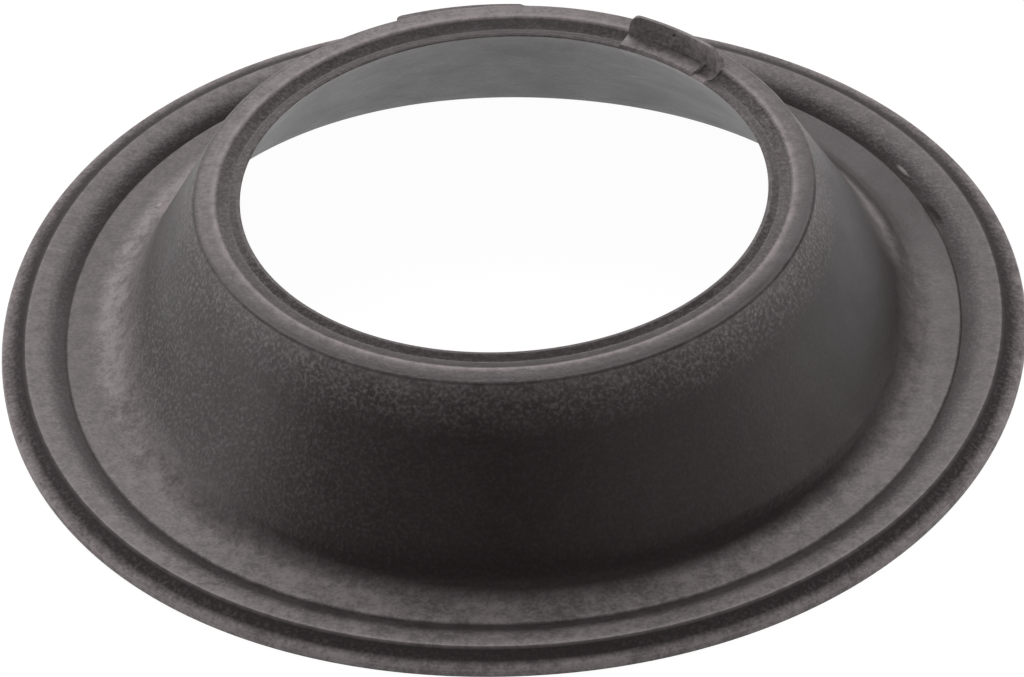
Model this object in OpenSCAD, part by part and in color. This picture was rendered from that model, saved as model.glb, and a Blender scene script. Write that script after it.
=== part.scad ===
// Diaphragm seal: one moulded rubber ring, open in the middle.
// The axis is Z and the flat underside of the flange lies at z = 0.
// From outside to inside it has a sloping rim, a domed sealing bead, a plain flange plate,
// a conical wall and a grooved lip round the opening. A tab with a ledge stands on the lip,
// and a flat lug stands out beside it. The front is -Y.

/* [Flange] */
// Outer diameter of the flange
flange_d = 110; // [107:0.5:124]
// Height of the outer rim at its edge
rim_h = 1; // [0.8:0.05:1.2]
// Width of the sloping rim, from the outer edge to the bead's corner
rim_w = 2.65; // [2.2:0.05:3.2]
// Height of the rim's slope at the middle of its width
rim_middle_h = 1.36; // [1.22:0.01:1.46]
// Radius of the rim's upper edge
rim_round = 0.45; // [0.2:0.05:0.6]
// Height of the sealing bead at its outer corner
bead_h = 1.9; // [1.6:0.1:2.4]
// Width of the sealing bead, from its outer corner to its foot
bead_w = 4.15; // [3.4:0.05:4.6]
// Radius of the bead's domed top
bead_round = 8; // [3:0.5:10]
// Height of the bead's foot, beside the plate
bead_foot_h = 0.92; // [0.7:0.01:1]
// Thickness of the plain plate inside the bead
plate_t = 1.1; // [1.05:0.05:1.5]

/* [Conical wall] */
// Diameter of the mouth at the underside
mouth_d = 83; // [79:0.5:84]
// Thickness of the wall where it meets the flange
wall_t = 1.55; // [1.2:0.05:2.2]
// Radius between the plate and the wall
foot_fillet = 5; // [3:0.25:6]

/* [Lip] */
// Height of the lip's crest above the underside
seal_h = 19.4; // [17:0.1:24]
// Diameter of the opening
bore_d = 54.6; // [50:0.2:58]
// Height of the cylindrical land in the opening
land_h = 0.4; // [0.3:0.05:0.8]
// Distance from the opening to the lip's crest
crest_w = 3; // [2.7:0.1:3.6]
// Width of the band outside the crest
band_w = 2.1; // [1.6:0.1:2.6]
// Height that the band loses towards its outer edge
band_drop = 0.2; // [0.05:0.05:0.4]
// Radius of the band's outer edge, where the conical wall begins
band_round = 0.3; // [0.1:0.05:0.6]
// Distance from the opening to the crown of the inner rim
inner_rim_w = 0.42; // [0.3:0.02:0.6]
// Height of the inner rim's crown below the crest
inner_rim_drop = 0.3; // [0.1:0.05:0.4]
// Height that the inner rim loses from its crown to the opening
inner_rim_fall = 0.1; // [0.05:0.05:0.2]
// Distance from the opening to the bottom of the lip's groove
lip_groove_w = 1.45; // [1.2:0.05:1.8]
// Depth of the lip's groove below the crest
lip_groove_depth = 0.62; // [0.5:0.02:0.9]

/* [Tab with ledge] */
// Turn of its middle about the axis, from the front towards +X
tab_a_turn = 139.25; // [60:0.25:150]
// Length along the lip
tab_a_l = 12.4; // [10:0.1:16]
// Height above the crest
tab_a_h = 2.1; // [1.2:0.1:3]
// Distance from the crest in to the foot of its face
tab_a_inset = 0.8; // [0.5:0.05:1.2]
// How far its face leans outwards up to its top
tab_a_lean = 0.45; // [0.1:0.05:0.8]
// Thickness at its top
tab_a_top_t = 0.45; // [0.3:0.05:0.8]
// Thickness at its foot
tab_a_foot_t = 1.6; // [1.3:0.05:2.2]
// Radius of its two upper corners
tab_a_corner = 1.1; // [0.4:0.1:1.4]
// Length of the ledge that fills the lip's groove beside it
ledge_l = 10.4; // [5:0.1:10.6]
// Height of the ledge below the crest
ledge_drop = 0.08; // [0.02:0.02:0.2]
// Distance from the opening to the ledge's upright side
ledge_inset = 0.12; // [0.04:0.04:0.3]

/* [Outer tab] */
// Turn of its middle about the axis, from the front towards +X
tab_b_turn = 186.25; // [175:0.25:260]
// Length along the lip
tab_b_l = 14.6; // [8:0.1:16]
// How far it stands out from the lip at its wide end
tab_b_w = 0.8; // [0.6:0.05:1.5]
// How far it stands out from the lip at its narrow end
tab_b_low_w = 0.35; // [0.2:0.05:0.5]
// Height of its flat top below the band's outer edge
tab_b_drop = 0.06; // [0.02:0.02:0.2]
// Radius of its corner at the wide end
tab_b_corner = 0.7; // [0.2:0.1:0.8]
// Length of its slanted narrow end
tab_b_slant = 1; // [0.2:0.1:2]

/* [Hidden] */
$fn = 240;
rubber = "#3c3839";
arc_steps = 7;        // straight pieces in each rounded corner
sharp = 0.12;         // radius of a crisp moulded edge
soft = 0.3;           // radius of a worn or rounded edge
gentle = 3;           // radius where the rim's slope bends
groove_round = 0.5;   // radius of the bottom of the lip's groove
crown_round = 0.2;    // radius of the inner rim's crown
bead_sag = 0.04;      // fall of the bead's first tangent, from its corner to its middle
plate_edge_w = 0.25;  // width of the slope from the bead's foot up to the plate
bite = 0.2;           // how far a tab reaches into the solid that carries it
edge_share = 0.8;     // most of an edge that a rounded corner takes up
tab_steps = 20;       // straight pieces along the outer tab

flange_r = flange_d / 2;
bead_r = flange_r - rim_w;
bead_foot_r = bead_r - bead_w;
bead_middle_r = bead_r - bead_w / 2;
plate_r = bead_foot_r - plate_edge_w;

bore_r = bore_d / 2;
crest_r = bore_r + crest_w;
band_r = crest_r + band_w;
band_z = seal_h - band_drop;
inner_rim_r = bore_r + inner_rim_w;
inner_rim_z = seal_h - inner_rim_drop;
lip_groove_r = bore_r + lip_groove_w;
lip_groove_z = seal_h - lip_groove_depth;
land_top_z = inner_rim_z - inner_rim_fall;
land_z = land_top_z - land_h;

// The inner wall runs straight from the land down to the mouth. The outer wall runs from the
// band's edge to the foot, where it stands off the inner wall by the wall's thickness.
mouth_r = mouth_d / 2;
slope = atan2(land_z, mouth_r - bore_r);
foot_r = mouth_r - plate_t / tan(slope) + wall_t / sin(slope);
outer_slope = atan2(band_z - plate_t, foot_r - band_r);

// The section's corners, each as radius, height and rounding
section = [
    [mouth_r, 0, soft],
    [flange_r, 0, soft],
    [flange_r, rim_h, rim_round],
    [flange_r - rim_w / 2, rim_middle_h, gentle],
    [bead_r, bead_h, sharp],
    [bead_middle_r, bead_h - bead_sag, bead_round],
    [bead_foot_r, bead_foot_h, 0],
    [plate_r, plate_t, sharp],
    [foot_r, plate_t, foot_fillet],
    [band_r, band_z, band_round],
    [crest_r, seal_h, sharp],
    [lip_groove_r, lip_groove_z, groove_round],
    [inner_rim_r, inner_rim_z, crown_round],
    [bore_r, land_top_z, sharp],
    [bore_r, land_z, 0]
];

function place(p) = [p[0], p[1]];
function unit(v) = v / norm(v);
function at_turn(r, turn) = [r * sin(turn), -r * cos(turn)];

// The corner at p, between its neighbours a and b, as an arc that touches both sides
function corner(a, p, b) =
    p[2] == 0 ? [place(p)] :
    let (u = unit(place(a) - place(p)), v = unit(place(b) - place(p)), half = acos(u * v) / 2)
    let (room = edge_share * min(norm(place(a) - place(p)), norm(place(b) - place(p))))
    let (reach = min(p[2] / tan(half), room))
    let (centre = place(p) + unit(u + v) * (reach / cos(half)))
    let (from = place(p) + u * reach - centre)
    let (to = place(p) + v * reach - centre)
    let (turn = atan2(from[0] * to[1] - from[1] * to[0], from * to))
    [for (i = [0 : arc_steps]) let (t = turn * i / arc_steps)
        centre + [from[0] * cos(t) - from[1] * sin(t), from[0] * sin(t) + from[1] * cos(t)]];

// A closed outline with all its corners rounded
function rounded(points) =
    let (n = len(points))
    [for (i = [0 : n - 1]) each corner(points[(i + n - 1) % n], points[i], points[(i + 1) % n])];

// The part of a ring that lies inside an upright outline, at a turn from the front.
// The outline's first axis runs along the lip and its second is the height.
module ring_piece(turn, ring_section, outline) {
    intersection() {
        rotate_extrude() polygon(ring_section);
        rotate([0, 0, turn]) rotate([90, 0, 0]) linear_extrude(height = 2 * band_r) polygon(rounded(outline));
    }
}

// The ring's own body
module seal_body() {
    rotate_extrude() polygon(rounded(section));
}

// A thin wall on the crest, whose face leans outwards and whose back slopes down to the band
module tab_with_ledge() {
    end_x = tab_a_l / 2;
    top_z = seal_h + tab_a_h;
    root_z = lip_groove_z - bite;
    face_r = crest_r - tab_a_inset;
    top_r = face_r + tab_a_lean;
    back_r = face_r + tab_a_foot_t;
    back_z = seal_h - band_drop * (back_r - crest_r) / band_w;
    ring_piece(tab_a_turn,
        [[face_r, root_z], [back_r, root_z], [back_r, back_z],
            [top_r + tab_a_top_t, top_z], [top_r, top_z], [face_r, lip_groove_z]],
        [[-end_x, root_z, 0], [end_x, root_z, 0],
            [end_x, top_z, tab_a_corner], [-end_x, top_z, tab_a_corner]]);
    // The ledge ends flush with the tab at one end and stops short of it at the other
    ledge_r = bore_r + ledge_inset;
    ledge_z = seal_h - ledge_drop;
    ring_piece(tab_a_turn,
        [[ledge_r, land_top_z - bite], [lip_groove_r, root_z], [crest_r, root_z],
            [face_r + bite, ledge_z], [ledge_r, ledge_z]],
        [[end_x - ledge_l, root_z, 0], [end_x, root_z, 0], [end_x, seal_h, 0], [end_x - ledge_l, seal_h, 0]]);
}

// A flat lug outside the band, wider at one end, whose side runs straight down to the wall
module outer_tab() {
    half_turn = tab_b_l / 2 / band_r * 180 / PI;
    top_z = band_z - tab_b_drop;
    foot_z = band_z - (tab_b_w + bite) * tan(outer_slope);
    // Distances along the lug from its narrow end, closer together at the rounded corner
    side_l = tab_b_l - tab_b_corner;
    plain_l = side_l - tab_b_slant;
    stops = [0,
        for (i = [0 : tab_steps]) tab_b_slant + plain_l * i / tab_steps,
        for (i = [1 : arc_steps]) side_l + tab_b_corner * sin(90 * i / arc_steps)];
    outer = [for (x = stops) let (past = max(0, x - side_l))
        let (full_w = tab_b_low_w + (tab_b_w - tab_b_low_w) * x / tab_b_l)
        let (w = full_w * min(1, x / tab_b_slant) - tab_b_corner + sqrt(tab_b_corner ^ 2 - past ^ 2))
        at_turn(band_r + w, tab_b_turn + (2 * x / tab_b_l - 1) * half_turn)];
    inner = [for (i = [tab_steps : -1 : 0])
        at_turn(band_r - 3 * bite, tab_b_turn + (2 * i / tab_steps - 1) * half_turn)];
    translate([0, 0, foot_z]) linear_extrude(height = top_z - foot_z) polygon(concat(outer, inner));
}

// The whole seal is one piece of rubber
module diaphragm_seal() {
    color(rubber)
    union() {
        seal_body();
        tab_with_ledge();
        outer_tab();
    }
}

diaphragm_seal();
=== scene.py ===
import bmesh
import bpy
from math import acos, atan2, cos, degrees, dist, pi, radians, sin, sqrt, tan
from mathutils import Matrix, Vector


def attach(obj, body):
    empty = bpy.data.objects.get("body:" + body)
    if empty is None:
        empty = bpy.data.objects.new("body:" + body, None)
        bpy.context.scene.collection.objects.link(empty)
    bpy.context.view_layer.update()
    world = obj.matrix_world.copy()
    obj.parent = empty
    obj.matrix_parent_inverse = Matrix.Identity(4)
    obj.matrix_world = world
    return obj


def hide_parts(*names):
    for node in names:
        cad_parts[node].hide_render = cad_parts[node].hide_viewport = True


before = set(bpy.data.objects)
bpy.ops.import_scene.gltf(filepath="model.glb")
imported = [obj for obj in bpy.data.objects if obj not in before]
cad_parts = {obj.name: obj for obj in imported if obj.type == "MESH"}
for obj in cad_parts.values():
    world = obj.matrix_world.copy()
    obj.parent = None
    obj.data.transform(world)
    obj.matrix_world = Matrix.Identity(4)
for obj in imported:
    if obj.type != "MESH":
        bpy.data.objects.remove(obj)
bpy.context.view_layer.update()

# The camera looks from the front, 39 degrees above the table, from two thirds of a metre away.
# Its small turn and roll put the seal where the photograph has it.
mm = 0.001
camera_distance = 660 * mm
camera_height = radians(39.02)
camera_data = bpy.data.cameras.new("camera")
camera_data.lens = 217.9
camera = bpy.data.objects.new("camera", camera_data)
camera.location = (0, -camera_distance * cos(camera_height), camera_distance * sin(camera_height))
camera.rotation_euler = (radians(50.863), radians(2.200), radians(-1.799))
bpy.context.collection.objects.link(camera)
bpy.context.scene.camera = camera


# The seal is one piece of black rubber, pressed hot in a steel mould and pulled off its core.
# Its section is rounded corner by corner and spun about the axis, and where a tab stands, each
# ring takes the section of its own turn. Sizes are in millimetres until the end.
flange_r = 55.0
rim_h = 1.0
rim_w = 2.65
rim_middle_h = 1.36
bead_h = 1.9
bead_w = 4.15
bead_sag = 0.04
bead_foot_h = 0.92
plate_t = 1.1
plate_edge_w = 0.25
mouth_r = 41.5
foot_r = 42.6
seal_h = 19.4
bore_r = 27.3
land_h = 0.12
crest_w = 3.0
band_w = 2.1
band_drop = 0.2
inner_rim_w = 0.42
inner_rim_drop = 0.3
inner_rim_fall = 0.1
lip_groove_w = 1.3
lip_groove_depth = 0.62

rim_round = 0.45
rim_bend = 3.0
bead_round = 8.0
foot_fillet = 5.0
band_round = 0.5
groove_round = 0.25
crown_round = 0.2
crest_round = 0.1
crest_dip = 0.02
crisp = 0.12
soft = 0.3
finest = 0.03
arc_cuts = 5

bead_r = flange_r - rim_w
bead_foot_r = bead_r - bead_w
crest_r = bore_r + crest_w
band_r = crest_r + band_w
band_z = seal_h - band_drop
inner_rim_z = seal_h - inner_rim_drop
land_top_z = inner_rim_z - inner_rim_fall
groove_r = bore_r + lip_groove_w
groove_z = seal_h - lip_groove_depth

tab_a_turn = 139.25
tab_a_l = 12.4
tab_a_h = 2.1
tab_a_inset = 0.8
tab_a_lean = 0.45
tab_a_top_t = 0.45
tab_a_foot_t = 1.6
tab_a_corner = 1.3
tab_a_flare = 0.6
tab_a_top_z = seal_h + tab_a_h
tab_a_face_r = crest_r - tab_a_inset
tab_a_top_r = tab_a_face_r + tab_a_lean
tab_a_back_r = tab_a_face_r + tab_a_foot_t

ledge_l = 10.4
ledge_inset = 0.12
ledge_drop = 0.08
ledge_side_h = 0.5
ledge_r = bore_r + ledge_inset
ledge_z = seal_h - ledge_drop

tab_b_turn = 186.25
tab_b_l = 14.6
tab_b_w = 0.8
tab_b_low_w = 0.35
tab_b_drop = 0.06
tab_b_crease = 0.06
tab_b_corner = 0.7
tab_b_slant = 1.0
tab_b_z = band_z - tab_b_drop
least_lug_w = 0.1
full_rise_w = 0.3


def wall_z(r):
    """The height of the outside of the conical wall at a radius."""
    return plate_t + (band_z - plate_t) * (foot_r - r) / (foot_r - band_r)


def band_height(r):
    """The height of the band outside the crest at a radius."""
    return seal_h - band_drop * (r - crest_r) / band_w


def groove_side_z(r):
    """The height of the outer slope of the lip's groove at a radius."""
    return groove_z + (seal_h - groove_z) * (r - groove_r) / (crest_r - groove_r)


def lug_corners(width):
    """The corners of the flat lug outside the band, which lies in the wall where it has no width."""
    rise = min(1, width / full_rise_w)
    in_r = band_r + least_lug_w
    least_r = in_r + least_lug_w
    edge_r = max(least_r, band_r + width)
    in_z = wall_z(in_r) + (tab_b_z - tab_b_crease - wall_z(in_r)) * rise
    edge_z = wall_z(least_r) + (tab_b_z - wall_z(least_r)) * rise
    return {
        "lug_foot": (edge_r + finest, wall_z(edge_r + finest), 0),
        "lug_edge": (edge_r, edge_z, finest + (crisp - finest) * rise),
        "lug_in": (in_r, in_z, 0),
    }


plain_corners = {
    "mouth": (mouth_r, 0, soft),
    "rim_under": (flange_r, 0, soft),
    "rim_edge": (flange_r, rim_h, rim_round),
    "rim_middle": (flange_r - rim_w / 2, rim_middle_h, rim_bend),
    "bead_edge": (bead_r, bead_h, crisp),
    "bead_top": (bead_r - bead_w / 2, bead_h - bead_sag, bead_round),
    "bead_foot": (bead_foot_r, bead_foot_h, 0),
    "plate_edge": (bead_foot_r - plate_edge_w, plate_t, crisp),
    "foot": (foot_r, plate_t, foot_fillet),
    **lug_corners(0),
    "band_edge": (band_r, band_z, band_round),
    "back_foot": (tab_a_back_r, band_height(tab_a_back_r), 0),
    "crest_out": (crest_r + crisp, seal_h, crest_round),
    "crest_in": (crest_r - crisp, seal_h - crest_dip, crest_round),
    "face_foot": (tab_a_face_r, groove_side_z(tab_a_face_r), 0),
    "groove": (groove_r, groove_z, groove_round),
    "inner_rim": (bore_r + inner_rim_w, inner_rim_z, crown_round),
    "bore_edge": (bore_r, land_top_z, crisp),
    "bore_foot": (bore_r, land_top_z - land_h, 0),
}


def rounded_outline(corners, cuts):
    """The section as a flat face in front of the axis, rounded and cut corner by corner."""
    bm = bmesh.new()
    points = [Vector((0, -r, z)) for r, z, rounding in corners.values()]
    verts = [bm.verts.new(p) for p in points]
    bm.faces.new(verts)
    for i, (r, z, rounding) in enumerate(corners.values()):
        if rounding:
            back = (points[i - 1] - points[i]).normalized()
            ahead = (points[(i + 1) % len(points)] - points[i]).normalized()
            half_angle = acos(max(-1, min(1, back.dot(ahead)))) / 2
            bmesh.ops.bevel(bm, geom=[verts[i]], offset=max(finest, rounding / tan(half_angle)),
                            offset_type="OFFSET", segments=arc_cuts, profile=0.5,
                            affect="VERTICES", material=-1)
    bm.faces.ensure_lookup_table()
    edges = [loop.edge for loop in bm.faces[0].loops]
    for count in sorted(set(cuts) - {0}):
        bmesh.ops.bisect_edges(bm, edges=[e for e, n in zip(edges, cuts) if n == count], cuts=count)
    bm.faces.ensure_lookup_table()
    return bm


# Straight stretches of the section are cut so that no piece is much longer than this,
# with a most for the long ones
longest_piece = 0.5
most_cuts = 9
bm = rounded_outline(plain_corners, [])
cuts = [min(most_cuts, int(loop.edge.calc_length() / longest_piece)) for loop in bm.faces[0].loops]
bm.free()


def outline_points(changes):
    """The points of the section, in order, with some of its corners moved."""
    bm = rounded_outline(plain_corners | changes, cuts)
    points = [(-loop.vert.co.y, loop.vert.co.z) for loop in bm.faces[0].loops]
    bm.free()
    return points


tab_a_wall = {
    "crest_out": (tab_a_top_r + tab_a_top_t, tab_a_top_z, crisp),
    "crest_in": (tab_a_top_r, tab_a_top_z, crest_round),
}
tab_a_ledge = tab_a_wall | {
    "face_foot": (tab_a_face_r, ledge_z, 0),
    "groove": (groove_r, ledge_z, finest),
    "inner_rim": (ledge_r, ledge_z, crisp),
    "bore_edge": (ledge_r - finest, ledge_z - ledge_side_h, finest),
}
plain_points = outline_points({})
wall_points = outline_points(tab_a_wall)
ledge_points = outline_points(tab_a_ledge)


def along_lip(turn, middle, r):
    """How far a turn is from the middle of a tab, in millimetres along a circle."""
    return radians((turn - middle + 180) % 360 - 180) * r


def corner_drop(inside, corner):
    """How far a rounded corner lies below the full height, at a distance inside the end."""
    short = min(corner, max(0, corner - inside))
    return corner - sqrt(corner ** 2 - short ** 2)


def tab_a_height(a):
    """The top of the tab with the ledge. One end is upright and the other flares into the crest."""
    flare_in = a + tab_a_l / 2
    if flare_in < tab_a_flare:
        return seal_h + corner_drop(tab_a_flare - flare_in, tab_a_flare)
    inside = min(flare_in - tab_a_flare, tab_a_l / 2 - a)
    return tab_a_top_z - corner_drop(inside, tab_a_corner)


def tab_b_width(b):
    """The width of the lug, which has a slanted narrow end and a rounded wide end."""
    from_narrow, from_wide = tab_b_l / 2 + b, tab_b_l / 2 - b
    full_w = tab_b_low_w + (tab_b_w - tab_b_low_w) * from_narrow / tab_b_l
    return full_w * min(1, from_narrow / tab_b_slant) - corner_drop(from_wide, tab_b_corner)


def points_at(turn):
    """The section's points at a turn from the front towards +X, in degrees."""
    a = along_lip(turn, tab_a_turn, crest_r)
    b = along_lip(turn, tab_b_turn, band_r)
    if abs(a) <= tab_a_l / 2:
        top_z = tab_a_height(a)
        points = ledge_points if a > tab_a_l / 2 - ledge_l else wall_points
        return [(r, min(z, top_z)) for r, z in points]
    if abs(b) <= tab_b_l / 2:
        return outline_points(lug_corners(tab_b_width(b)))
    return plain_points


def end_turns(middle, r, along, inward, corner):
    """The turns of the rings at a tab's end: one just outside it, and those of its corner."""
    rings = 8
    arc = [corner * (1 - cos(radians(90 * i / rings))) for i in range(rings + 1)]
    return [middle + degrees((along + inward * d) / r) for d in [-finest, *arc]]


# There is a ring at each whole degree, and more of them at the ends of the tabs and the ledge
tab_ends = (
    (tab_a_turn, crest_r, -tab_a_l / 2, 1, tab_a_flare),
    (tab_a_turn, crest_r, tab_a_flare - tab_a_l / 2, 1, tab_a_corner),
    (tab_a_turn, crest_r, tab_a_flare - tab_a_l / 2, -1, tab_a_flare),
    (tab_a_turn, crest_r, tab_a_l / 2, -1, tab_a_corner),
    (tab_a_turn, crest_r, tab_a_l / 2 - ledge_l, 1, crisp),
    (tab_b_turn, band_r, -tab_b_l / 2, 1, tab_b_slant),
    (tab_b_turn, band_r, tab_b_l / 2, -1, tab_b_corner),
)
turns = {float(degree) for degree in range(360)}
for tab_end in tab_ends:
    turns.update(end_turns(*tab_end))
turns = sorted(turns)


def ramp(value, low, high):
    """Rises from 0 to 1 between two values."""
    return max(0, min(1, (value - low) / (high - low)))


def hump(value, low, full, fall, end):
    """Rises from 0 to 1 between two values, and falls back to 0 between two more."""
    return ramp(value, low, full) * (1 - ramp(value, fall, end))


def facing(turn, middle):
    """How squarely a turn faces a direction: 1 there, and 0 from a quarter turn away."""
    return max(0, cos(radians(turn - middle)))


# How far the free flange stands out of round: for each number of lobes round it, the part that
# peaks at the front and the part that peaks a quarter of a lobe further on
flange_lobes = {2: (0.20, 0.19), 3: (0.20, -0.31), 4: (-0.34, 0.17)}
crest_oval = 0.15
opening_oval = 0.36


def relaxed(r, z, turn):
    """The radius of a place of the free seal, whose lip is oval and whose flange is less even."""
    turn = radians(turn)
    flange = sum(a * cos(n * turn) + b * sin(n * turn) for n, (a, b) in flange_lobes.items())
    in_opening = ramp(crest_r - r, 0, crest_w)
    lip = -(crest_oval + (opening_oval - crest_oval) * in_opening) * cos(2 * turn)
    share = min(1, z / seal_h)
    return r + flange * (1 - share) + lip * share


# Bloom is the pale film that comes out of the rubber. The same pale cover also carries painted light
# and painted shade: paler where light falls on the flats, edges and tabs, and darker in the valleys,
# near the cone and on the sides turned away from the lamps. How thick it lies runs from 0 to 1, and
# it changes round the seal at these turns from the front.
right_turn = 90
left_back_turn = 245
left_turn = 270
left_front_turn = 285


def back_right(turn):
    """Whether a turn lies at the back right, with soft ends."""
    return hump(turn, 94, 106, 150, 170)


def front_of_lip(turn):
    """Whether a turn lies on the front half of the lip, with soft ends."""
    return ramp(cos(radians(turn)) + 0.2 * sin(radians(turn)), -0.1, 0.5)


def underside_bloom_and_table_light(r, z):
    """The underside holds a little bloom. The lower part of the flange's edge is much paler,
    painted light from the white table below.
    """
    return 0.2 + 0.65 * ramp(r, flange_r - 0.2, flange_r) * ramp(z, 0.1, 0.3)


def rim_bloom_and_painted_light(r, turn):
    """The rim is painted pale towards its outer edge, bloom and painted light where the light catches
    it, over less of its width at the front.
    """
    return ramp(r, flange_r - 1.6 + 0.5 * facing(turn, 0), flange_r - 0.4)


def bead_bloom_and_painted_light(r, turn):
    """The bead's dome holds bloom and painted light, and its inner slope is painted shade in the
    valley, but for a little pale at the front.
    """
    front = facing(turn, 0)
    dome = 0.55 + 0.05 * front - 0.15 * facing(turn, right_turn) - 0.06 * back_right(turn)
    return dome * ramp(r, bead_foot_r + 1.2, bead_foot_r + 2.3) + 0.16 * front


def plate_bloom_and_painted_light(r, turn):
    """The plate holds bloom and painted light, palest at the front, and painted shade towards the
    cone. A painted highlight lies at its inner end at the left back, and a thin painted highlight at
    the back right, where the rest of the plate is painted in shade."""
    front = facing(turn, 0)
    left = facing(turn, left_turn)
    inner_end = foot_r - 1.5 + 2.5 * front - 2 * left
    near_bead = ramp(r, bead_foot_r - 2.7, bead_foot_r - 1.2)
    plate = 0.38 + 0.54 * front - 0.1 * facing(turn, right_turn) * near_bead
    plate *= (1 - 0.85 * back_right(turn)) * ramp(r, inner_end, inner_end + 1.8 + 1.7 * left)
    left_back_highlight = hump(r, foot_r - 4, foot_r, foot_r + 1.4, foot_r + 2.8) * facing(turn, left_back_turn) ** 2
    back_right_highlight = hump(r, foot_r - 4, foot_r - 1.5, foot_r - 0.6, foot_r + 0.4) * back_right(turn)
    return plate + 0.8 * left_back_highlight + 0.8 * back_right_highlight


def band_bloom_and_painted_light(r, turn):
    """The band holds bloom and painted light beside the crest. It is painted in shade outwards at the
    front and the sides, up to a painted highlight on its edge at the front.
    """
    right = facing(turn, right_turn)
    front = front_of_lip(turn)
    band = 0.64 - 0.14 * right - 0.1 * facing(turn, 0)
    band -= 0.5 * front * ramp(r, crest_r + 0.3, band_r - 0.6)
    band -= 0.25 * right * (1 - front) * ramp(r, crest_r + 0.6, band_r - 0.2)
    band -= 0.4 * facing(turn, left_turn) * (1 - front) * ramp(r, band_r - 0.5, band_r - 0.2)
    return band + 0.22 * front * ramp(r, band_r - 0.4, band_r - 0.2)


def collar_bloom_and_highlight(r, turn):
    """The top of the wall holds a little bloom, most in front, where the band's painted highlight
    runs onto it.
    """
    collar = (0.04 + 0.18 * facing(turn, 0)) * (1 - ramp(r, band_r + 0.4, band_r + 2.6))
    return collar + 0.22 * front_of_lip(turn) * (1 - ramp(r, band_r + 0.1, band_r + 0.5))


def bloom_and_painted_light_at(r, z, turn):
    """How pale a place of the section is painted, bloom and painted light and shade together, from
    the underside round to the inner wall.
    """
    on_tab_a = abs(along_lip(turn, tab_a_turn, crest_r)) <= tab_a_l / 2
    on_tab_b = abs(along_lip(turn, tab_b_turn, band_r)) <= tab_b_l / 2
    if z < plate_t / 2:
        return underside_bloom_and_table_light(r, z)
    if r > bead_r:
        return rim_bloom_and_painted_light(r, turn)
    if r > bead_foot_r - plate_edge_w / 2:
        return bead_bloom_and_painted_light(r, turn)
    if r > foot_r - foot_fillet and z > wall_z(r) - 0.8:
        return plate_bloom_and_painted_light(r, turn)
    # The tabs are painted pale: bloom and painted light where their faces catch the back lamps.
    if on_tab_a and z > groove_z - 0.1 and r < crest_r + 0.5:
        return 0.9 if r < tab_a_face_r else 0.65
    if on_tab_b and band_r < r < band_r + 1:
        return 0.3
    if z > band_z - 0.15 and r > crest_r - 0.2:
        return band_bloom_and_painted_light(r, turn)
    if z > wall_z(r) - 0.3 and r > crest_r:
        return collar_bloom_and_highlight(r, turn)
    return 0.16 * (z < wall_z(r) - 1)


def scuff_at(r, z, turn):
    """How scuffed a place is: at the top of the wall and on its left, and at both sides also in
    the lip's groove, on the bead and on the rim."""
    sides = abs(sin(radians(turn)))
    outside = ramp(z, wall_z(r) - 0.8, wall_z(r) - 0.4)
    collar = hump(r, band_r, band_r + 0.3, band_r + 0.4, band_r + 2.8) * (0.3 + 0.7 * sides)
    left = hump(z, 2, 5, 13, 17) * facing(turn, left_front_turn) ** 4
    groove = ramp(z, groove_z - 0.2, groove_z) * (1 - ramp(r, crest_r - 0.4, crest_r))
    bead = hump(r, bead_foot_r, bead_foot_r + 1, bead_r - 1.5, bead_r - 1)
    rim = ramp(r, bead_r + 0.4, bead_r + 1)
    return (collar + 0.5 * left + 0.3 * (bead + rim) * sides) * outside + 0.35 * groove * sides


edge_reach = 0.24


def edge_wear_and_highlight_at(r, z, turn):
    """How pale the edge at a place is painted: rubbed wear together with painted highlights where the
    lamps catch the rounded edges. Half of the tab with the ledge stays unrubbed, and the edge of the
    band has its painted highlight only at the back."""
    front = cos(radians(turn))
    a = along_lip(turn, tab_a_turn, crest_r)
    crest = 1 - ramp(a, -1, 1) * (a < tab_a_l / 2)
    # The rim's, crest's and band's edges carry painted highlights as well as wear.
    wear_and_highlight = {"crest_out": 0.5 * crest, "crest_in": 0.8 * crest, "bore_edge": 0.4, "rim_edge": 1.6,
            "band_edge": max(0, -front), "bead_edge": 0.2 + 0.3 * max(0, front)}
    return max(amount * max(0, 1 - dist((r, z), plain_corners[name][:2]) / edge_reach)
               for name, amount in wear_and_highlight.items())


# The section is spun in even steps, and then each ring is turned to its own place, so that the
# rings crowd together at the ends of the tabs. Each point also keeps its radius in the plain
# section, its bloom with painted light and shade, its scuffing, and its edge wear with painted
# highlights, which the patterns on the rubber follow.
bm = rounded_outline(plain_corners, cuts)
point_number = bm.verts.layers.int.new("point_number")
moulded_r = bm.verts.layers.float.new("moulded_r")
bloom_and_painted_light = bm.verts.layers.float.new("bloom_and_painted_light")
scuffed = bm.verts.layers.float.new("scuffed")
worn_and_highlit_edge = bm.verts.layers.float.new("worn_and_highlit_edge")
for i, loop in enumerate(bm.faces[0].loops):
    v = loop.vert
    v[point_number] = i
    v[moulded_r] = -v.co.y
bmesh.ops.delete(bm, geom=[bm.faces[0]], context="FACES_ONLY")
bmesh.ops.spin(bm, geom=bm.verts[:] + bm.edges[:], cent=(0, 0, 0), axis=(0, 0, 1), angle=2 * pi,
               steps=len(turns), use_merge=True)
shapes = [points_at(turn) for turn in turns]
for v in bm.verts:
    ring = round(atan2(v.co.x, -v.co.y) / (2 * pi) * len(turns)) % len(turns)
    turn = turns[ring]
    plain_point = plain_points[v[point_number]]
    v[bloom_and_painted_light] = bloom_and_painted_light_at(*plain_point, turn)
    v[scuffed] = scuff_at(*plain_point, turn)
    v[worn_and_highlit_edge] = edge_wear_and_highlight_at(*plain_point, turn)
    r, z = shapes[ring][v[point_number]]
    r = relaxed(r, z, turn)
    v.co = (r * sin(radians(turn)), -r * cos(radians(turn)), z)
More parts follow.
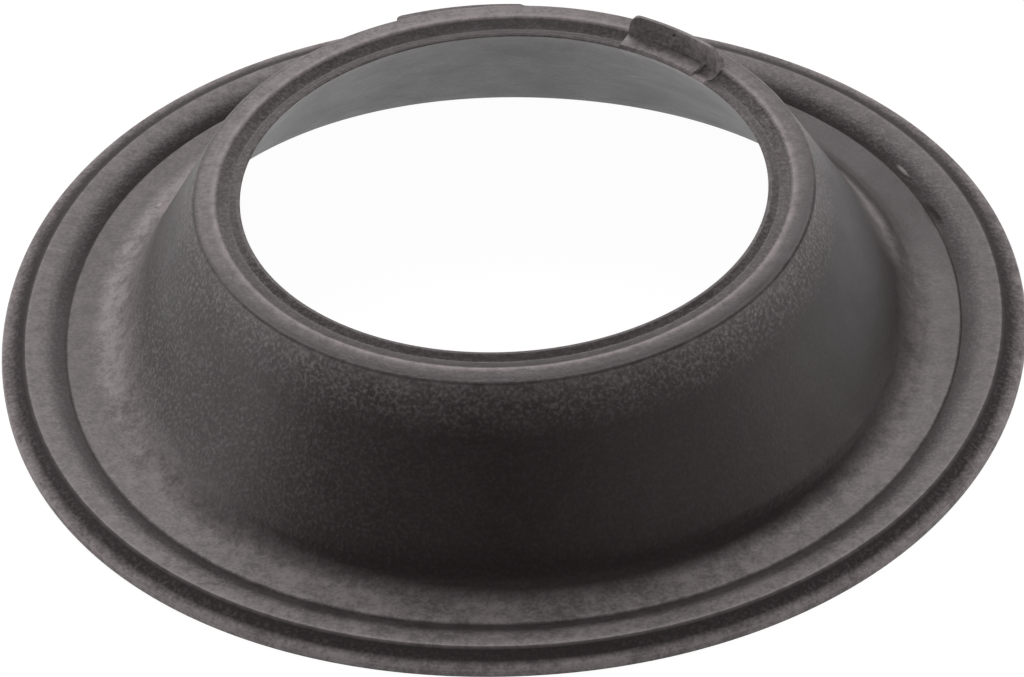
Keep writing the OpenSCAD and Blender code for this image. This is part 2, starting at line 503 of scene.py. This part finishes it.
bmesh.ops.recalc_face_normals(bm, faces=bm.faces)
bmesh.ops.scale(bm, vec=(mm, mm, mm), verts=bm.verts)
seal_mesh = bpy.data.meshes.new("moulded_seal")
bm.to_mesh(seal_mesh)
bm.free()
seal_mesh.shade_smooth()
seal_mesh.set_sharp_from_angle(angle=radians(35))
seal = bpy.data.objects.new("moulded_seal", seal_mesh)
bpy.context.collection.objects.link(seal)


def linear(hex_colour):
    """An sRGB hex colour as the linear colour that Blender takes."""
    channels = [int(hex_colour[i:i + 2], 16) / 255 for i in (1, 3, 5)]
    return [c / 12.92 if c <= 0.04045 else ((c + 0.055) / 1.055) ** 2.4 for c in channels] + [1]


def add_node(tree, kind, inputs, **settings):
    """Adds a node with its settings. An input takes a plain value, or an output to link."""
    made = tree.nodes.new(kind)
    for name, value in settings.items():
        setattr(made, name, value)
    for name, value in inputs.items():
        if isinstance(value, bpy.types.NodeSocket):
            tree.links.new(value, made.inputs[name])
        else:
            made.inputs[name].default_value = value
    return made


# Moulded EPDM rubber filled with carbon black, straight from a fine blasted steel mould. The eye
# gets a near black with a brown cast, a satin skin whose gloss drifts in soft patches, a thin
# pale bloom on the flats together with painted light and shade, pale rubbed edges with painted
# highlights, and fine light specks, thickest round the lip.
patch_size = 7.0
mottle_size = 1.6
ripple_size = 2.6
grain_size = 0.4
speck_size = 0.4
streak_length = 6.0
streak_width = 0.35
ripple_depth = 0.07
grain_depth = 0.036
streak_depth = 0.006
speck_height = 0.04
rim_blend_w = 0.15

rubber = bpy.data.materials.new("moulded_epdm_rubber")
rubber.use_nodes = True
tree = rubber.node_tree
tree.nodes.clear()
output = add_node(tree, "ShaderNodeOutputMaterial", {})
on_object = add_node(tree, "ShaderNodeTexCoord", {}).outputs["Object"]
in_mm = add_node(tree, "ShaderNodeVectorMath", {0: on_object, "Scale": 1 / mm},
                 operation="SCALE").outputs[0]
from_axis = add_node(tree, "ShaderNodeAttribute", {}, attribute_name="moulded_r").outputs["Fac"]
edges = add_node(tree, "ShaderNodeAttribute", {}, attribute_name="worn_and_highlit_edge").outputs["Fac"]
bloom_and_painted_light = add_node(tree, "ShaderNodeAttribute", {}, attribute_name="bloom_and_painted_light").outputs["Fac"]
scuffed = add_node(tree, "ShaderNodeAttribute", {}, attribute_name="scuffed").outputs["Fac"]

patches = add_node(tree, "ShaderNodeTexNoise", {
    "Vector": in_mm, "Scale": 1 / patch_size, "Detail": 4.0, "Roughness": 0.6}).outputs["Fac"]
mottle = add_node(tree, "ShaderNodeTexNoise", {
    "Vector": in_mm, "Scale": 1 / mottle_size, "Detail": 4.0, "Roughness": 0.7}).outputs["Fac"]
ripples = add_node(tree, "ShaderNodeTexNoise", {
    "Vector": in_mm, "Scale": 1 / ripple_size, "Detail": 2.0}).outputs["Fac"]
grain = add_node(tree, "ShaderNodeTexNoise", {
    "Vector": in_mm, "Scale": 1 / grain_size, "Detail": 2.0, "Roughness": 0.7}).outputs["Fac"]
# The real specks are finer than a tenth of a millimetre, and are drawn as coarse as they show
specks = add_node(tree, "ShaderNodeTexNoise", {
    "Vector": in_mm, "Scale": 1 / speck_size, "Detail": 3.0, "Roughness": 0.6}).outputs["Fac"]

# Flow of the rubber in the mould leaves faint streaks that run round the seal. They are read
# from a noise that is stretched along the turn and follows the moulded radius.
in_plan = add_node(tree, "ShaderNodeVectorMath", {0: in_mm, 1: (1, 1, 0)}, operation="MULTIPLY")
outward = add_node(tree, "ShaderNodeVectorMath", {0: in_plan.outputs[0]}, operation="NORMALIZE")
around = add_node(tree, "ShaderNodeVectorMath", {
    0: outward.outputs[0], "Scale": flange_r / streak_length}, operation="SCALE")
across = add_node(tree, "ShaderNodeMath", {0: from_axis, 1: 1 / streak_width}, operation="MULTIPLY")
lifted = add_node(tree, "ShaderNodeCombineXYZ", {"Z": across.outputs[0]})
streak_place = add_node(tree, "ShaderNodeVectorMath", {0: around.outputs[0], 1: lifted.outputs[0]},
                        operation="ADD")
streaks = add_node(tree, "ShaderNodeTexNoise", {
    "Vector": streak_place.outputs[0], "Scale": 1.0, "Detail": 2.0}).outputs["Fac"]


def mark(r, turn, z, half_sizes, tilt=0):
    """A small soft-edged mark at a place on the seal. Its first size lies along the lip."""
    turn = radians(turn)
    local = add_node(tree, "ShaderNodeMapping", {
        "Vector": in_mm, "Location": (r * sin(turn), -r * cos(turn), z),
        "Rotation": (0, tilt, turn), "Scale": half_sizes}, vector_type="TEXTURE")
    away = add_node(tree, "ShaderNodeVectorMath", {0: local.outputs[0]}, operation="LENGTH")
    return add_node(tree, "ShaderNodeMapRange", {
        "Value": away.outputs["Value"], "From Min": 1.0, "From Max": 0.2},
        interpolation_type="SMOOTHSTEP").outputs[0]


dimple = mark(48.4, 107.2, 1.05, (3.0, 0.8, 1.5))
# The pinhole is painted near black, painted shade inside the hole. Its depth is a bump.
shaded_pinhole = mark(29.95, 140.2, 20.85, (0.26, 0.5, 0.26))
raised_scuff = mark(49.1, 117.4, 1.1, (1.6, 0.3, 1))
foot_nib = mark(43.9, 239.0, 1.3, (0.6, 0.5, 1.5))
wall_scratch = mark(33.4, 152.9, 10.5, (2.4, 0.6, 0.16), 0.3)
crest_crumbs = mark(30.0, 186.0, 19.2, (3.0, 0.35, 0.3))


# The bloom, with its painted light and shade, lies in soft patches, and the specks are few
# except where the rubber is scuffed
cover_value = mottle
for noise, share in ((patches, 0.7), (grain, 0.4)):
    cover_value = add_node(tree, "ShaderNodeMath", {0: noise, 1: share, 2: cover_value},
                           operation="MULTIPLY_ADD").outputs[0]
cover_patches = add_node(tree, "ShaderNodeMapRange", {
    "Value": cover_value, "From Min": 0.85, "From Max": 1.25, "To Min": 0.45, "To Max": 1.1}).outputs[0]
bloom_and_light_cover = add_node(tree, "ShaderNodeMath", {0: bloom_and_painted_light, 1: cover_patches},
                       operation="MULTIPLY").outputs[0]
speck_share = 0.03
for rubbed, share in ((scuffed, 0.55), (crest_crumbs, 0.6), (raised_scuff, 0.6), (foot_nib, 0.5)):
    speck_share = add_node(tree, "ShaderNodeMath", {0: rubbed, 1: share, 2: speck_share},
                           operation="MULTIPLY_ADD").outputs[0]
speck_spots = add_node(tree, "ShaderNodeMapRange", {
    "Value": specks, "From Min": 0.46, "From Max": 0.7}).outputs[0]
speck_cover = add_node(tree, "ShaderNodeMath", {0: speck_spots, 1: speck_share},
                       operation="MULTIPLY").outputs[0]
edge_break = add_node(tree, "ShaderNodeMapRange", {
    "Value": mottle, "From Min": 0.3, "From Max": 0.6, "To Min": 0.35, "To Max": 0.9}).outputs[0]
edge_cover = add_node(tree, "ShaderNodeMath", {0: edges, 1: edge_break}, operation="MULTIPLY").outputs[0]

# Colour: two black-browns drift into each other, and each further layer lies over those before
# it: the bloom with its painted light and shade, the specks, the rubbed edges with their painted
# highlights, the three pale marks and the two dark ones, the dimple painted darker and the
# pinhole black with painted shade
tone = linear("#221c1d")
for cover, colour in ((patches, "#2c2526"), (bloom_and_light_cover, "#a8a4a4"), (speck_cover, "#c4bebf"),
                      (edge_cover, "#bab4b5"), (wall_scratch, "#b0aaab"),
                      (raised_scuff, "#a39d9e"), (foot_nib, "#c4bebf"), (dimple, "#2a2626"),
                      (shaded_pinhole, "#0c0b0b")):
    tone = add_node(tree, "ShaderNodeMix", {"Factor": cover, "A": tone, "B": linear(colour)},
                    data_type="RGBA").outputs["Result"]

# Gloss: satin, a little duller in the patches, along the streaks, on the specks and on the rim
coarse_rim = add_node(tree, "ShaderNodeMapRange", {
    "Value": from_axis, "From Min": bead_r, "From Max": bead_r + rim_blend_w}).outputs[0]
dullness = add_node(tree, "ShaderNodeMapRange", {
    "Value": patches, "From Min": 0.3, "From Max": 0.7, "To Min": 0.36, "To Max": 0.46}).outputs[0]
for layer, amount in ((streaks, 0.06), (speck_cover, 0.12), (coarse_rim, 0.25)):
    dullness = add_node(tree, "ShaderNodeMath", {0: layer, 1: amount, 2: dullness},
                        operation="MULTIPLY_ADD").outputs[0]

# Relief in millimetres: soft ripples, the grain of the mould, flow streaks, specks and marks
relief = 0.0
for layer, depth in ((ripples, ripple_depth), (grain, grain_depth), (streaks, streak_depth),
                     (speck_cover, speck_height), (dimple, -0.12), (shaded_pinhole, -0.2),
                     (raised_scuff, 0.08), (foot_nib, 0.2)):
    relief = add_node(tree, "ShaderNodeMath", {0: layer, 1: depth, 2: relief},
                      operation="MULTIPLY_ADD").outputs[0]
bump = add_node(tree, "ShaderNodeBump", {"Strength": 1.0, "Distance": mm, "Height": relief})
shader = add_node(tree, "ShaderNodeBsdfPrincipled", {
    "Base Color": tone, "Roughness": dullness, "IOR": 1.5, "Normal": bump.outputs[0]})
tree.links.new(shader.outputs[0], output.inputs["Surface"])
seal_mesh.materials.append(rubber)

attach(seal, "root")
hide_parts("diaphragm_seal")


# The table is a round sheet of matt white board, 4.4 metres wide. It is lit as the seal is, and it
# looks white to the camera and in the rubber's gloss, so that little of its own shade is seen.
table_r = 2.2
table_segments = 64
board_glow = 0.97

bm = bmesh.new()
bmesh.ops.create_circle(bm, cap_ends=True, segments=table_segments, radius=table_r)
bmesh.ops.recalc_face_normals(bm, faces=bm.faces)
bm.faces.ensure_lookup_table()
if bm.faces[0].normal.z < 0:
    bmesh.ops.reverse_faces(bm, faces=bm.faces)
table_mesh = bpy.data.meshes.new("table")
bm.to_mesh(table_mesh)
bm.free()
table = bpy.data.objects.new("table", table_mesh)
bpy.context.collection.objects.link(table)
board = bpy.data.materials.new("white_board")
board.use_nodes = True
tree = board.node_tree
tree.nodes.clear()
output = add_node(tree, "ShaderNodeOutputMaterial", {})
path = add_node(tree, "ShaderNodeLightPath", {}).outputs
seen = add_node(tree, "ShaderNodeMath", {0: path["Is Camera Ray"], 1: path["Is Glossy Ray"]},
                operation="MAXIMUM")
seen = add_node(tree, "ShaderNodeMath", {0: seen.outputs[0], 1: path["Is Transmission Ray"]},
                operation="MAXIMUM")
matt = add_node(tree, "ShaderNodeBsdfDiffuse", {"Color": linear("#e8e8e8")})
shaded = add_node(tree, "ShaderNodeBsdfDiffuse", {"Color": linear("#606060")})
glow = add_node(tree, "ShaderNodeEmission", {"Color": (1, 1, 1, 1), "Strength": board_glow})
bright = add_node(tree, "ShaderNodeAddShader", {0: shaded.outputs[0], 1: glow.outputs[0]})
either = add_node(tree, "ShaderNodeMixShader", {
    0: seen.outputs[0], 1: matt.outputs[0], 2: bright.outputs[0]})
tree.links.new(either.outputs[0], output.inputs["Surface"])
table_mesh.materials.append(board)


# Two wide soft windows stand behind the seal, one low and one higher up, and dimmer cards fill in
# from the sides. The front is left dim, so that the front of the cone stays almost black.
def soft_lamp(name, place, width, height, power):
    """A rectangular soft lamp that faces the seal. Its place and size are in metres."""
    data = bpy.data.lights.new(name, "AREA")
    data.shape = "RECTANGLE"
    data.size = width
    data.size_y = height
    data.energy = power
    data.color = linear("#fff7f8")[:3]
    lamp = bpy.data.objects.new(name, data)
    lamp.location = place
    towards_seal = Vector((0, 0, 0)) - lamp.location
    lamp.rotation_euler = towards_seal.to_track_quat("-Z", "Y").to_euler()
    bpy.context.collection.objects.link(lamp)


soft_lamp("back_window", place=(0, 0.94, 1.04), width=0.8, height=0.26, power=4.2)
soft_lamp("low_window", place=(-0.1, 1.25, 0.62), width=2.0, height=0.5, power=7.5)
soft_lamp("left_card", place=(-1.3, 0.1, 0.35), width=1.2, height=0.7, power=5.4)
soft_lamp("right_card", place=(1.3, 0.1, 0.35), width=1.2, height=0.7, power=3.5)
soft_lamp("top_card", place=(0, 0, 1.4), width=1.0, height=0.8, power=1.2)
soft_lamp("front_right_card", place=(0.9, -0.9, 0.4), width=1.1, height=0.7, power=1.3)
soft_lamp("front_left_card", place=(-0.9, -0.9, 0.4), width=1.1, height=0.7, power=0.25)

world = bpy.data.worlds.new("room")
bpy.context.scene.world = world
world.use_nodes = True
tree = world.node_tree
tree.nodes.clear()
output = add_node(tree, "ShaderNodeOutputWorld", {})
path = add_node(tree, "ShaderNodeLightPath", {})
dim = add_node(tree, "ShaderNodeBackground", {"Color": linear("#5b5657"), "Strength": 1.0})
white = add_node(tree, "ShaderNodeBackground", {"Color": (1, 1, 1, 1), "Strength": 1.0})
either = add_node(tree, "ShaderNodeMixShader", {
    0: path.outputs["Is Camera Ray"], 1: dim.outputs[0], 2: white.outputs[0]})
tree.links.new(either.outputs[0], output.inputs["Surface"])

bpy.context.scene.view_settings.view_transform = "Standard"
